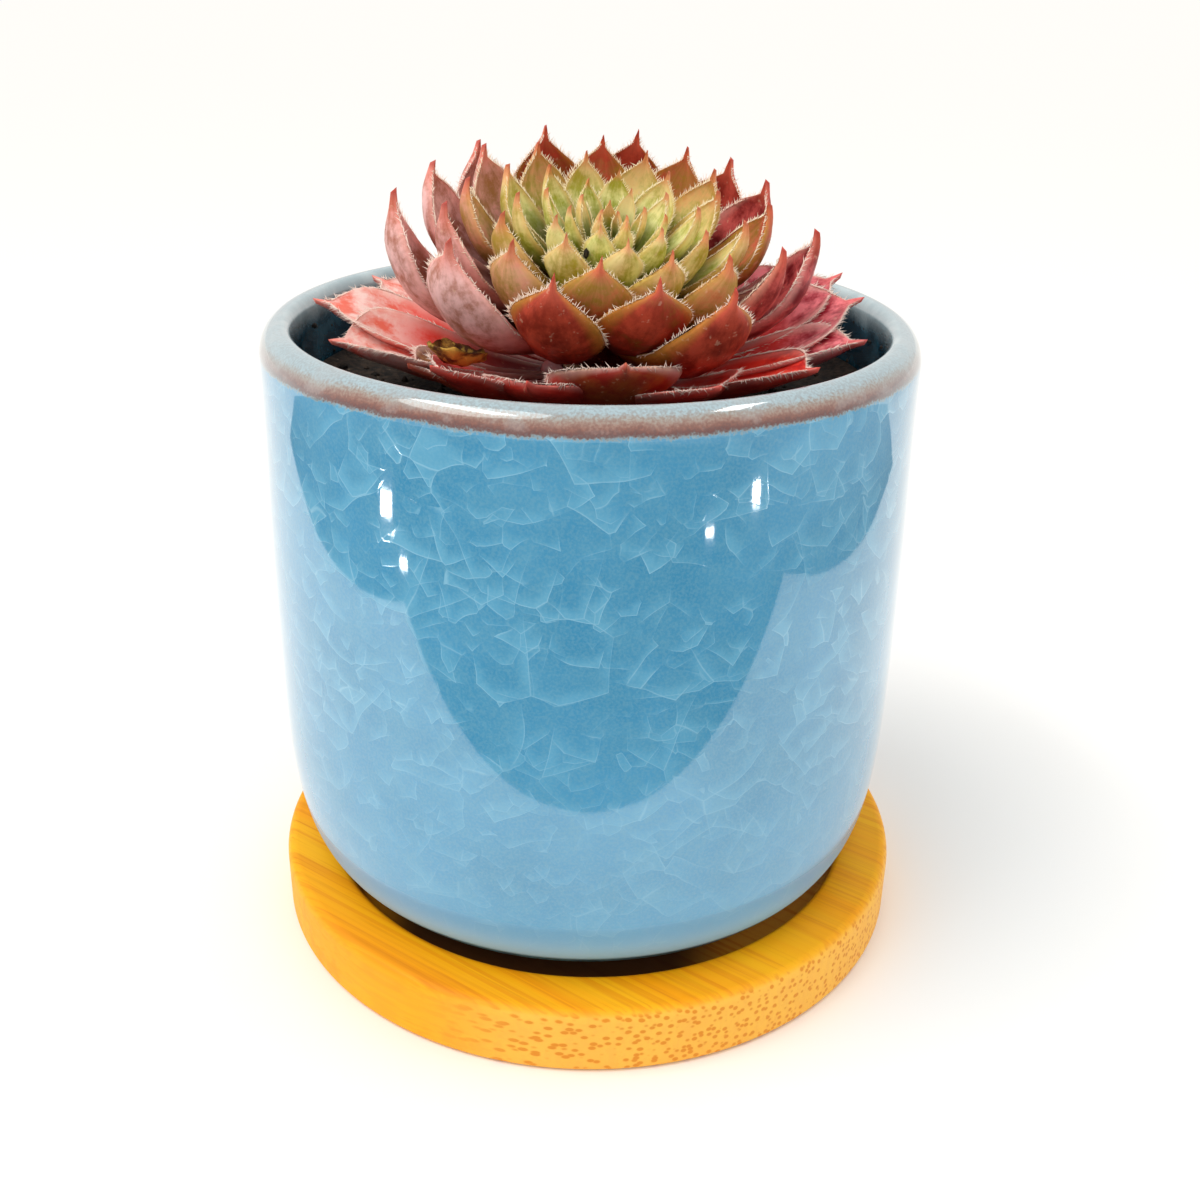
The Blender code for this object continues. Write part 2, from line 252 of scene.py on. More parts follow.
def light_studio():
    world = bpy.data.worlds.new("bright_room")
    world.use_nodes = True
    sky = world.node_tree.nodes["Background"]
    sky.inputs["Color"].default_value = (1.0, 0.99, 0.97, 1)
    sky.inputs["Strength"].default_value = 0.80
    bpy.context.scene.world = world
    key = bpy.data.lights.new("soft_key", "SUN")
    key.energy, key.angle, key.color = 0.95, math.radians(38), (1.0, 0.985, 0.95)
    lamp = bpy.data.objects.new("soft_key", key)
    lamp.rotation_euler = Vector((0.46, 0.22, -0.86)).to_track_quat("-Z", "Y").to_euler()
    bpy.context.scene.collection.objects.link(lamp)
    warm = (1.0, 0.985, 0.95)
    add_panel("panel_left", (-0.20, -0.08, 0.45), (0, 0, 0.07), (0.24, 0.06), 0.35, warm)
    add_panel("panel_right", (0.20, 0.02, 0.45), (0, 0, 0.07), (0.16, 0.05), 0.22, warm)
    for n, (at, size, power) in enumerate(GLINTS):
        add_panel(f"glint_{n}", Vector(at) * MM, (0, 0, 0.068), size, power, (1, 1, 1))
    table = Finish("white_table", Roughness=0.9, Specular_IOR_Level=0.0)
    table = table.show(Base_Color=(0.95, 0.94, 0.925))
    far, out = TABLE_REACH, CARD_REACH
    flat("table", [(-far, -far, 0), (far, -far, 0), (far, far, 0), (-far, far, 0)],
         [(0, 1, 2, 3)], table)
    outer = ((-out, -out), (out, -out), (out, CARD_BACK), (-out, CARD_BACK))
    # This card is a painted reflection of the dark room; only mirror rays see it
    card = flat("painted_reflection_card", [(x, y, CARD_Z) for x, y in SHEET + outer],
                [(4, 5, 1, 0), (5, 6, 2, 1), (7, 4, 0, 3)], painted_reflection_skin())
    card.visible_camera = card.visible_diffuse = card.visible_shadow = False
    card.visible_transmission = False


light_studio()
# The standard view keeps the paper white; the softer default would grey it
bpy.context.scene.view_settings.view_transform = "Standard"

# %% [markdown]
# ## Round pieces
# The pot, saucer and soil are turned shapes: one outline swept round an axis. The solids use
# few sides. Here the same outline gets many sides and smooth shading, because a glossy glaze
# shows every flat. A Screw modifier could do this, but direct code lets the soil be lumpy.

# %% A turned mesh
PLACE = Vector((-0.6, 1.7, 0.0)) * MM


def finish_piece(bm, name, mat, slot, *nodes, smooth=True):
    bmesh.ops.recalc_face_normals(bm, faces=bm.faces)
    for face in bm.faces:
        face.smooth = smooth
    mesh = bpy.data.meshes.new(name)
    bm.to_mesh(mesh)
    bm.free()
    mesh.materials.append(mat)
    ob = bpy.data.objects.new(name, mesh)
    bpy.context.scene.collection.objects.link(ob)
    if nodes:
        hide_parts(*nodes)
    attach(ob, "root")
    print(name, "faces:", len(mesh.polygons))
    return ob


def rounded(points, radius, steps=3):
    # Cut each corner of a closed outline back by radius and put a small curve there
    out = []
    for i, here in enumerate(points):
        here, before = Vector(here), Vector(points[i - 1])
        after = Vector(points[(i + 1) % len(points)])
        if here.x < 1e-9:
            out.append(tuple(here))
            continue
        a = here + (before - here) * min(0.45, radius / max((before - here).length, 1e-9))
        b = here + (after - here) * min(0.45, radius / max((after - here).length, 1e-9))
        for j in range(steps + 1):
            u = j / steps
            out.append(tuple(a * (1 - u) ** 2 + here * (2 * u * (1 - u)) + b * u ** 2))
    return out


def turned(profile, sides, at=Vector(), lift=None):
    bm = bmesh.new()
    rings = []
    for r, z in profile:
        if r < 1e-9:
            rings.append([bm.verts.new(at + Vector((0, 0, z)))])
            continue
        ring = []
        for j in range(sides):
            turn = 2 * math.pi * j / sides
            x, y = r * math.cos(turn), r * math.sin(turn)
            ring.append(bm.verts.new(at + Vector((x, y, z + (lift(x, y, z) if lift else 0)))))
        rings.append(ring)
    for a, b in zip(rings, rings[1:] + rings[:1]):
        for j in range(sides):
            n = (j + 1) % sides
            if len(a) == 1 and len(b) == 1:
                break
            if len(a) == 1:
                bm.faces.new((a[0], b[n], b[j]))
            elif len(b) == 1:
                bm.faces.new((a[j], a[n], b[0]))
            else:
                bm.faces.new((a[j], a[n], b[n], b[j]))
    return bm

# %% [markdown]
# ## Bamboo saucer
# Bamboo board is strips glued side by side. Each holds long fibres, so its top shows fine
# straight lines and its cut ends show dots. One cell texture, stretched far along the grain,
# gives both at once: lines where the surface runs along it, dots where it cuts across.

# %% Bamboo
SAUCER_R, RECESS_R = 42.4 * MM, 35.5 * MM
GRAIN_TURN = math.radians(-36)


def bamboo():
    f = Finish("bamboo_oiled", IOR=1.3)
    x, y, z = f.parts(f.place())
    along = x * math.cos(GRAIN_TURN) + y * math.sin(GRAIN_TURN)
    across = y * math.cos(GRAIN_TURN) - x * math.sin(GRAIN_TURN)
    grain = f.join(along * 0.012, across, z)
    fibre = f.cells(grain, 1250.0)
    fine = f.clouds(f.join(along * 0.02, across, z), 2300.0, 2.0, 0.6)
    line = f.clouds(f.join(along * 0.004, across, z * 0.3), 1000.0, 3.0, 0.7)
    broad = f.clouds(f.join(along * 0.05, across, z), 210.0, 3.0)
    strip = f.clouds(f.join(along * 0.001, across, z * 0.2), 110.0, 1.0)
    colour = f.mix(broad.rise(0.35, 0.68), (1.0, 0.36, 0.0), (1.0, 0.47, 0.002))
    colour = f.mix(strip.rise(0.40, 0.60) * 0.4, colour, (1.0, 0.48, 0.01))
    colour = f.mix(line.rise(0.48, 0.62) * 0.50, colour, (0.82, 0.23, 0.0))
    colour = f.mix(fine.rise(0.52, 0.72) * 0.40, colour, (0.72, 0.18, 0.0))
    # The cut ends of the fibres: dark dots in pale wood, strongest where the wall cuts across
    wall = z.rise(8.75 * MM, 8.0 * MM)
    facing = along / SAUCER_R
    ends = (facing.rise(0.10, 0.50) + facing.rise(-0.60, -0.90)) * wall
    colour = f.mix(wall * 0.40, colour, (1.0, 0.50, 0.02))
    colour = f.mix(ends * 0.55, colour, (1.0, 0.58, 0.12))
    colour = f.mix(fibre.rise(0.46, 0.26) * (0.10 + ends * 0.75), colour, (0.76, 0.24, 0.01))
    x, y = x - PLACE.x, y - PLACE.y
    # Painted shadow in the gap round the foot: brownish over the recess, near black at the front left
    inside = (x * x + y * y).rise((RECESS_R + 0.7 * MM) ** 2, RECESS_R ** 2)
    recess_shadow = inside * z.rise(8.9 * MM, 8.6 * MM)
    recess_shadow = recess_shadow * z.rise(1.0 * MM, 2.0 * MM)
    near = x.rise(20.0 * MM, 11.0 * MM) * x.rise(-29.0 * MM, -21.0 * MM)
    colour = f.mix(recess_shadow * 0.6, colour, (0.40, 0.14, 0.008))
    colour = f.mix(recess_shadow * near * 0.92, colour, (0.04, 0.012, 0.008))
    height = fine * 0.3 + line * 0.4 + fibre * 0.3
    return f.show(Base_Color=colour, Roughness=0.42 + fine * 0.2,
                  Normal=f.bump(height, 0.05 * MM, 0.5))


saucer_line = [(0.0, 0.0), (41.9, 0.0), (42.4, 0.5), (42.4, 7.6), (42.1, 8.45), (41.3, 8.8),
               (35.9, 8.8), (35.4, 8.4), (35.2, 6.6), (34.8, 6.3), (0.0, 6.3)]
saucer_line = rounded([(r * MM, z * MM) for r, z in saucer_line], 0.35 * MM)
finish_piece(turned(saucer_line, 192), "saucer", bamboo(), "bamboo", "bamboo_saucer")

# %% [markdown]
# ## Glazed pot
# The glaze cooled faster than the clay and crazed into flakes. Each flake catches light on
# one side. Cells with wandering walls give the flakes, a slope inside each cell gives the
# one pale side, and noise breaks the walls so that few lines close. The iron in the clay
# shows brown where the glaze runs thin over the lip.

# %% Flakes of the crackle
def flakes(f, at, scale, wander, shift):
    # Cells of one size: the distance to the wall, and how far a point lies to the flake's pale side
    drift = f.node("ShaderNodeTexNoise", None, {"Vector": at, "Scale": scale * 0.45, "Detail": 2.0},
                   out=1)
    drift = f.vector("MULTIPLY", f.vector("SUBTRACT", drift, (0.5, 0.5, 0.5)), (wander,) * 3)
    moved = f.vector("ADD", f.vector("ADD", at, drift), shift)
    wall = f.cells(moved, scale, "DISTANCE_TO_EDGE")
    drawn = f.vector("SUBTRACT", f.cells(moved, scale, out="Color"), (0.5, 0.5, 0.92))
    offset = f.vector("SUBTRACT", moved, f.cells(moved, scale, out="Position"))
    side = f.vector("DOT_PRODUCT", offset, drawn, out=1) * scale
    return wall, side


def crackle(f, at):
    # Three sizes of flake; each gives a thin pale crack and a veil that fades away from it
    line, veil = None, None
    for scale, wander, shift, share in ((110.0, 0.0060, (0.31, 0.20, 0.05), 0.9),
                                        (200.0, 0.0034, (0.72, 0.11, 0.40), 1.0),
                                        (330.0, 0.0024, (0.13, 0.55, 0.71), 0.8)):
        wall, side = flakes(f, at, scale, wander, shift)
        gate = f.clouds(f.vector("ADD", at, shift), 110.0, 3.0).rise(0.36, 0.54) * share
        crack = wall.rise(0.00014 * scale, 0.0) * side.rise(0.0, 0.26) * gate
        haze = wall.rise(0.0022 * scale, 0.0) ** 1.6 * side.rise(0.0, 0.32) * gate
        line = crack if line is None else 1 - (1 - line) * (1 - crack)
        veil = haze if veil is None else 1 - (1 - veil) * (1 - haze)
    return line, veil


# %% Glaze, brown lip and bare foot
LIP_Z = (77.5, 80.1)          # mm, where the glaze turns brown and where the crest starts


def glaze():
    f = Finish("crackle_glaze", IOR=1.6, Coat_Roughness=0.03, Coat_IOR=1.6)
    at = f.place()
    x, y, z = f.parts(at)
    x, y = x - PLACE.x, y - PLACE.y
    height = z / MM
    radius = (x * x + y * y) ** 0.5 / MM
    spread = f.clouds(at, 260.0, 4.0)
    blotch = f.clouds(at, 45.0, 3.0)
    speck = f.clouds(at, 3200.0, 3.0)
    line, veil = crackle(f, at)
    upper = height.rise(10.0, 66.0) * 0.75 + 0.45
    line, veil = line * upper, veil * upper
    blue = f.mix(blotch.rise(0.3, 0.7), (0.050, 0.27, 0.47), (0.085, 0.34, 0.57))
    blue = f.mix(spread.rise(0.35, 0.7) * 0.30, blue, (0.13, 0.38, 0.54))
    blue = f.mix(speck.rise(0.35, 0.70) * 0.30, blue, (0.22, 0.44, 0.54))
    # Painted light: the blue grows lighter towards the foot, standing in for the pale table mirrored
    # there and light thrown up from the saucer
    blue = f.mix(height.rise(24.0, 12.0) * 0.7, blue, (0.09, 0.42, 0.70))
    blue = f.mix(height.rise(17.0, 10.5) * 0.75, blue, (0.40, 0.66, 0.84))
    blue = f.mix(veil * 0.44, blue, (0.20, 0.52, 0.72))
    blue = f.mix(line * 0.34, blue, (0.42, 0.70, 0.84))
    # The lip, from the blue upwards: grey line, brown, pinkish brown, beige, pale crest
    # Painted sheen: towards the left and right the brown band is lifted and paled to the crest colour,
    # where the lip mirrors the bright room
    side_sheen = x.size().rise(24.0 * MM, 40.0 * MM) * 0.45
    ragged = height + (spread - 0.5) * 0.8 + (blotch - 0.5) * 0.9 + (speck - 0.5) * 1.1 + side_sheen
    lip = [(LIP_Z[0], (0.26, 0.36, 0.39)), (LIP_Z[0] + 0.2, (0.13, 0.085, 0.085)),
           (LIP_Z[0] + 0.45, (0.13, 0.032, 0.026)), (LIP_Z[0] + 0.9, (0.25, 0.095, 0.065)),
           (LIP_Z[0] + 1.3, (0.33, 0.20, 0.155)), (LIP_Z[0] + 1.7, (0.35, 0.31, 0.27)),
           (LIP_Z[0] + 2.2, (0.36, 0.48, 0.53))]
    span = LIP_Z[1] - LIP_Z[0]
    crest = f.mix(spread.rise(0.35, 0.7), (0.36, 0.48, 0.52), (0.50, 0.62, 0.65))
    band = f.node("ShaderNodeValToRGB",
                  {"stops": [((z - LIP_Z[0]) / span, colour) for z, colour in lip]},
                  {"Fac": (ragged - LIP_Z[0]) / span})
    band = f.mix(speck.rise(0.60, 0.40) * 0.28, band, (0.17, 0.10, 0.085))
    worn = spread.rise(0.50, 0.62) * ragged.rise(LIP_Z[0] + 0.3, LIP_Z[0] + 0.9) * 0.28
    band = f.mix(worn, band, (0.38, 0.38, 0.38))
    band = f.mix(side_sheen * 0.9, band, crest)
    outer = f.mix(ragged.rise(LIP_Z[0] - 0.25, LIP_Z[0] + 0.1), blue, band)
    # Inside: painted shade, the wall darkened to teal under a pale edge
    inner_shade = f.mix(spread.rise(0.4, 0.65), (0.010, 0.055, 0.095), (0.035, 0.14, 0.21))
    within = f.mix(ragged.rise(76.5, 79.4), inner_shade, crest)
    colour = f.mix(radius.rise(36.9, 37.5), within, outer)
    bare = height.rise(9.95, 9.5)
    colour = f.mix(bare, colour, (0.50, 0.44, 0.36))
    rough = 0.055 + bare * 0.5 + height.rise(24.0, 12.0) * 0.40 + speck * 0.10 * ragged.rise(75.0, 77.0)
    relief = spread * 0.5 + line * 0.30 + veil * 0.2 + blotch * 0.6
    coat = (1 - bare) * height.rise(8.0, 26.0) * 0.8
    return f.show(Base_Color=colour, Roughness=rough, Coat_Weight=coat,
                  Normal=f.bump(relief, 0.05 * MM, 0.35))


def pot_outline():
    pts = [(27.4, 6.6), (30.6, 6.6), (31.0, 7.0), (31.2, 8.6), (33.3, 9.0), (34.9, 9.35)]
    for i in range(22):
        z = 9.9 + 32.1 * (i / 21) ** 1.9
        u = (42.0 - z) / 34.2
        pts.append((26.1 + 14.5 * (1 - u ** 4) ** 0.25, z))
    pts += [(40.58, 47.0), (40.45, 56.0), (40.28, 62.0), (40.1, 68.0), (40.03, 72.5)]
    for i in range(13):
        a = math.pi / 2 * i / 12
        pts.append((37.3 + 2.7 * math.cos(a), 76.55 + 3.6 * math.sin(a)))
    for i in range(1, 11):
        a = math.pi / 2 * i / 10
        pts.append((37.3 - 1.4 * math.sin(a), 78.15 + 2.0 * math.cos(a)))
    pts += [(36.0, 70.0), (36.1, 64.0), (36.3, 54.0), (36.4, 44.0), (36.3, 35.0), (36.0, 28.0),
            (35.4, 23.5), (34.6, 20.0), (33.0, 17.0), (31.0, 15.0), (28.2, 13.6), (25.0, 13.0),
            (5.4, 12.8), (5.0, 12.4), (5.0, 9.0), (5.4, 8.6), (26.7, 8.6), (27.0, 7.0)]
    return [(r * MM, z * MM) for r, z in pts]


finish_piece(turned(pot_outline(), 256, PLACE), "pot", glaze(), "blue_glaze", "ceramic_pot")

# %% [markdown]
# ## One rule for every leaf
# A rosette grows one leaf at a time, each turned 137.5 degrees from the last. Leaf number k
# alone gives its angle, reach, height and width. Each leaf is a blade on a curved spine: hollow
# above, full below, with a drawn-out point. The solids use this rule with six points a ring,
# and this finer leaf keeps their spine and outline.

# %% Spine and outline
GOLDEN = math.radians(137.508)
HEAD_AT = Vector((2.41, -1.91, 92.47)) * MM
LEAN_FRONT, LEAN_RIGHT, PHASE = 0.2565, 0.1105, 1.732
HEAD_REACH, HEAD_WIDTH = 25.9 * MM, 12.6 * MM
STEM_AT = Vector((0.1, 2.6, 0.0)) * MM
POINT = 0.92
HEAD_SHAPE, LOWER_SHAPE = (0.58, 0.40, 1.7), (0.66, 0.28, 2.8)
OUTER_BLUNT, HEAD_TWIST = 1.0, math.radians(5)
# Angle round the stem, reach, tip height, width, edge lift, end slope, roll
LOWER = (
    (184.0, 34.2, 81.4, 14.6, 0.20, 16, -7), (201.0, 33.0, 78.6, 15.0, 0.34, 10, -9),
    (156.5, 31.9, 81.0, 14.0, 0.20, 20, -4), (230.0, 27.6, 78.6, 12.0, 0.20, 30, -4),
    (217.0, 26.5, 77.2, 13.0, 0.16, 20, -8), (254.0, 25.5, 78.0, 13.5, 0.18, 32, 0),
    (278.0, 26.0, 80.6, 15.4, 0.20, 46, 0), (301.0, 28.0, 77.5, 13.5, 0.18, 22, 4),
    (323.0, 32.0, 78.4, 14.0, 0.20, 18, 4), (343.0, 34.2, 79.2, 13.5, 0.24, 14, 4),
    (1.0, 33.8, 81.8, 15.5, 0.22, 22, 14), (14.0, 33.2, 83.4, 14.0, 0.20, 30, 10),
    (27.0, 31.6, 83.6, 13.5, 0.20, 34, 8), (50.0, 30.0, 82.4, 13.5, 0.20, 32, 0),
    (78.0, 30.5, 82.4, 13.5, 0.20, 34, 0), (104.0, 30.0, 82.4, 13.5, 0.20, 32, 0),
    (131.0, 31.0, 81.6, 13.5, 0.20, 28, 0),
)


def spine(root, tip, rise0, rise1, pull0=0.45, pull1=0.33):
    span = math.hypot(tip[0] - root[0], tip[1] - root[1])
    p1 = (root[0] + pull0 * span * math.cos(rise0), root[1] + pull0 * span * math.sin(rise0))
    p2 = (tip[0] - pull1 * span * math.cos(rise1), tip[1] - pull1 * span * math.sin(rise1))
    return root, p1, p2, tip


def on_spine(line, s):
    p0, p1, p2, p3 = line
    q = 1 - s
    point = [q ** 3 * a + 3 * q * q * s * b + 3 * q * s * s * c + s ** 3 * d
             for a, b, c, d in zip(p0, p1, p2, p3)]
    slope = [3 * q * q * (b - a) + 6 * q * s * (c - b) + 3 * s * s * (d - c)
             for a, b, c, d in zip(p0, p1, p2, p3)]
    n = math.hypot(*slope)
    return point, (slope[0] / n, slope[1] / n)


def half_width(s, widest, root, blunt):
    if s < widest:
        return root + (1 - root) * math.sin(math.pi / 2 * s / widest)
    if s < POINT:
        return 1 - 0.9 * ((s - widest) / (POINT - widest)) ** blunt
    return 0.1 * (1 - s) / (1 - POINT)


def thickness(s):
    if s < 0.4:
        return 0.62 + 0.38 * math.sin(math.pi * min(s / 0.8, 1.0))
    return 1 - 0.75 * ((s - 0.4) / 0.6) ** 1.6

# %% [markdown]
# ## The blade and its fringe
# Each ring of the blade carries marks that the material reads: how far along the leaf it is,
# how far across, which face, and how old the leaf is. The fringe is real geometry, because its
# pale hairs break the outline. Each hair is a three-sided spike that leans to the leaf's tip.

# %% One leaf
MARKS = ("along", "across", "under", "age", "tint", "rosy", "wine", "hot")
UPPER = [math.sin(math.pi / 2 * (i / 5 - 1)) for i in range(11)]
LOWER_X = [math.sin(math.pi / 2 * (1 - i / 4)) for i in range(1, 8)]


def grow_leaf(body, hairs, at, out, up, line, width, thick, cup, shape, rng, age,
              roll=0.0, rings=24, rosy=0.0, wine=0.0, hot=0.0, hair=0.8):
    across = up.cross(out)
    tint = rng.random()
    phase = rng.uniform(0, 9)
    last, edges = None, ([], [])
    for i in range(rings + 1):
        s = 1 - (1 - i / rings) ** 1.25
        (r, z), (tr, tz) = on_spine(line, s)
        mid = at + out * r + up * z
        face = up * tr - out * tz
        lean = roll * min(1.0, 2 * s)
        side, face = (across * math.cos(lean) + face * math.sin(lean),
                      face * math.cos(lean) - across * math.sin(lean))
        w = width / 2 * half_width(s, *shape)
        h = thick * thickness(s)
        if i == rings:
            ring = [(mid, 0.0, 0.5)]
        else:
            ring = []
            wave = 0.10 * MM * math.sin(9 * s + phase) * min(1, w / (2 * MM))
            for x in UPPER:
                crown = 0.10 * h * math.exp(-(x / 0.16) ** 2)
                ring.append((mid + side * (w * x) + face * (cup * w * x * x - crown
                                                            + wave * x * abs(x)), x, 0.0))
            for x in LOWER_X:
                drop = h * (1 - x * x) ** 0.72 - cup * w * x * x
                ring.append((mid + side * (w * x) - face * drop, x, 1.0))
            for e, x in ((0, -1), (1, 1)):
                edges[e].append((s, mid + side * (w * x) + face * (cup * w), side * x, w))
        verts = []
        for co, x, under in ring:
            v = body["bm"].verts.new(co + noise.noise_vector(co * 230) * 0.28 * MM * min(1, 2 * s))
            for name, value in zip(MARKS, (s, x, under, age, tint, rosy, wine, hot)):
                v[body[name]] = value
            verts.append(v)
        if last:
            n = len(last)
            for j in range(n):
                k = (j + 1) % n
                if len(verts) == 1:
                    body["bm"].faces.new((last[j], last[k], verts[0]))
                else:
                    body["bm"].faces.new((last[j], last[k], verts[k], verts[j]))
        else:
            body["bm"].faces.new(list(reversed(verts)))
        last = verts
    for track in edges if hairs else ():
        grow_hairs(hairs, track, rng, age, tint, hair)


def grow_hairs(hairs, track, rng, age, tint, length):
    # Walk the margin and set a spike about every 0.22 mm on the outer two thirds
    walked, due = 0.0, 0.0
    for (s0, a, _, _), (_, b, away, w) in zip(track, track[1:]):
        step = (b - a).length
        while s0 > 0.33 and walked + step > due and step > 0:
            u = min(1.0, max(0.0, (due - walked) / step))
            root = a.lerp(b, u)
            due += rng.uniform(0.15, 0.30) * MM
            if w < 0.25 * MM:
                continue
            ahead = (b - a).normalized()
            drift = Vector([rng.uniform(-0.35, 0.35) for _ in range(3)])
            way = (away.normalized() * 0.75 + ahead * 0.75 + drift).normalized()
            reach = length * rng.uniform(0.45, 1.15) * MM * min(1.0, w / (1.2 * MM) + 0.45)
            spike(hairs, root - way * 0.12 * MM, way, reach + 0.12 * MM, 0.085 * MM,
                  (s0, age, tint))
        walked += step
        due = max(due, walked - 0.5 * MM) if s0 <= 0.33 else due


def spike(hairs, root, way, reach, radius, marks):
    one = way.orthogonal().normalized()
    two = way.cross(one)
    bend = one * (0.12 * reach)
    foot = [hairs["bm"].verts.new(root + (one * math.cos(a) + two * math.sin(a)) * radius)
            for a in (0.0, 2.1, 4.2)]
    tip = hairs["bm"].verts.new(root + way * reach + bend)
    for v in foot + [tip]:
        for name, value in zip(("along", "age", "tint"), marks):
            v[hairs[name]] = value
    for j in range(3):
        hairs["bm"].faces.new((foot[j], foot[(j + 1) % 3], tip))


def new_batch(marks):
    bm = bmesh.new()
    batch = {"bm": bm}
    for name in marks:
        batch[name] = bm.verts.layers.float.new(name)
    return batch

# %% [markdown]
# ## Leaf skin
# The heart is yellow-green. Older leaves turn olive, then russet, with a bloom of mauve, and
# darken to maroon towards the foot in painted shade. The lowest are salmon pink to scarlet.
# Margins are pale, points are red.
# The marks on each leaf steer these colours, so one material serves the whole plant.

# %% What both leaf skins share
class LeafSkin(Finish):
    def __init__(self, name):
        super().__init__(name, IOR=1.25, Subsurface_Weight=0.05, Subsurface_Scale=0.0008)
        self.shader.inputs["Subsurface Radius"].default_value = (1.0, 0.35, 0.2)
        at = self.place()
        self.age, self.along, self.under = [self.marked(m) for m in ("age", "along", "under")]
        self.tint, self.rosy, self.wine = [self.marked(m) for m in ("tint", "rosy", "wine")]
        self.hot = self.marked("hot")
        self.edge = self.marked("across").size()
        self.patch = self.clouds(at, 320.0, 5.0, 0.65)
        lengthwise = self.join(self.marked("across") * 2.6 + self.tint * 40, self.along * 1.5,
                               self.tint * 17)
        self.vein = self.clouds(lengthwise, 1.9, 5.0, 0.65)
        self.fleck = self.clouds(at, 1100.0, 3.0)
        self.mottle = self.vein * 0.25 + self.patch * 0.75

    def done(self, blade):
        blade = self.mix(self.fleck.rise(0.63, 0.72) * 0.30, blade, (0.90, 0.60, 0.42))
        relief = self.vein * 0.2 + self.patch * 0.65 + self.fleck * 0.35
        return self.show(Base_Color=blade, Roughness=0.30 + self.patch * 0.22,
                         Normal=self.bump(relief, 0.15 * MM, 0.45))


# %% Colours of the head
def head_skin():
    f = LeafSkin("leaf_green_red")
    turning = f.age + (f.tint - 0.5) * 0.14 + (f.patch - 0.5) * 0.35
    # Body colour by age: yellow-green, olive, russet
    heart = f.mix(f.mottle.rise(0.36, 0.62), (0.38, 0.44, 0.03), (1.0, 1.0, 0.46))
    olive = f.mix(f.mottle.rise(0.38, 0.62), (0.36, 0.30, 0.025), (0.92, 0.60, 0.22))
    russet = f.mix(f.mottle.rise(0.38, 0.64), (0.20, 0.012, 0.005), (0.60, 0.075, 0.035))
    blade = f.mix(turning.rise(0.40, 0.68), heart, olive)
    blade = f.mix(turning.rise(0.57, 0.76), blade, russet)
    # Sun colour near the end of each leaf
    warm = f.along.rise(0.55, 0.97) * turning.rise(0.05, 0.50)
    sunny = f.mix(turning.rise(0.45, 0.75), (0.84, 0.26, 0.12), (0.50, 0.07, 0.04))
    blade = f.mix(warm * 0.42, blade, sunny)
    bud = f.age.rise(0.22, 0.06) * f.along.rise(0.45, 0.85)
    blade = f.mix(bud * 0.6, blade, (0.90, 0.34, 0.16))
    mauve = f.mix(f.mottle.rise(0.38, 0.62), (0.46, 0.17, 0.11), (0.98, 0.60, 0.57))
    blade = f.mix(f.rosy * 0.9, blade, mauve)
    crimson = f.mix(f.mottle.rise(0.38, 0.64), (0.18, 0.006, 0.014), (0.80, 0.15, 0.15))
    blade = f.mix(f.wine * 0.9, blade, crimson)
    # Painted shade between the leaves: green to maroon, deepening towards the foot
    shade = f.mix(turning.rise(0.34, 0.72), (0.09, 0.11, 0.008), (0.045, 0.003, 0.005))
    shade = f.mix(f.rosy * 0.6, shade, (0.16, 0.035, 0.014))
    blade = f.mix(f.along.rise(0.78 - f.age * 0.16, 0.42 - f.age * 0.20) * 0.88, blade, shade)
    # Margin: gold-green on the inner leaves, orange to rose on the outer ones
    rim = f.mix(turning.rise(0.2, 0.7), (1.0, 0.68, 0.28), (0.62, 0.34, 0.045))
    rim = f.mix((f.rosy + f.wine).rise(0.2, 0.8), rim, (1.0, 0.48, 0.42))
    blade = f.mix(f.edge.rise(0.70, 1.0) * 0.55, blade, rim)
    blade = f.mix(f.along.rise(0.84, 0.96) * 0.6, blade, (0.84, 0.17, 0.10))
    blade = f.mix(f.along.rise(0.95, 0.99) * 0.6, blade, (0.42, 0.03, 0.03))
    return f.done(blade)


# %% Colours of the lower leaves
def lower_skin():
    f = LeafSkin("leaf_pink")
    salmon = f.mix(f.mottle.rise(0.38, 0.60), (0.86, 0.18, 0.12), (1.0, 0.74, 0.68))
    crimson = f.mix(f.mottle.rise(0.38, 0.62), (0.30, 0.006, 0.022), (0.90, 0.24, 0.27))
    umber = f.mix(f.mottle.rise(0.38, 0.62), (0.16, 0.018, 0.010), (0.40, 0.19, 0.03))
    blade = f.mix(f.wine, salmon, crimson)
    scarlet = f.mix(f.mottle.rise(0.38, 0.62), (0.42, 0.004, 0.008), (0.95, 0.07, 0.04))
    blade = f.mix(f.rosy, blade, umber)
    blade = f.mix(f.hot, blade, scarlet)
    blade = f.mix(f.along.rise(0.76, 0.45) * 0.85, blade, (1.0, 0.035, 0.02))
    # Near black towards the foot and darker red on the underside: partly the leaves' own colour, partly
    # painted shade
    blade = f.mix(f.along.rise(0.40, 0.12) * 0.85, blade, (0.14, 0.004, 0.008))
    blade = f.mix(f.under * 0.6, blade, (0.50, 0.03, 0.02))
    blade = f.mix(f.edge.rise(0.72, 1.0) * (0.5 - f.hot * 0.25), blade, (1.0, 0.66, 0.58))
    blade = f.mix(f.along.rise(0.86, 0.98) * 0.4, blade, (0.95, 0.22, 0.18))
    return f.done(blade)


# %% Colour of the hairs
def hair_skin():
    f = Finish("fringe_hair", Roughness=0.5, IOR=1.4)
    age, along = f.marked("age"), f.marked("along")
    colour = f.mix(age.rise(0.3, 1.0), (1.0, 0.86, 0.52), (1.0, 0.78, 0.68))
    colour = f.mix(along.rise(0.93, 1.0) * 0.4, colour, (0.90, 0.42, 0.32))
    return f.show(Base_Color=colour)

# %% [markdown]
# ## Rosette head
# Fifty-six upright leaves grow from one short core. The whole head leans to the front and a
# little to the right. Leaf 51 is missing here: it has fallen open and lies with the lower ones.

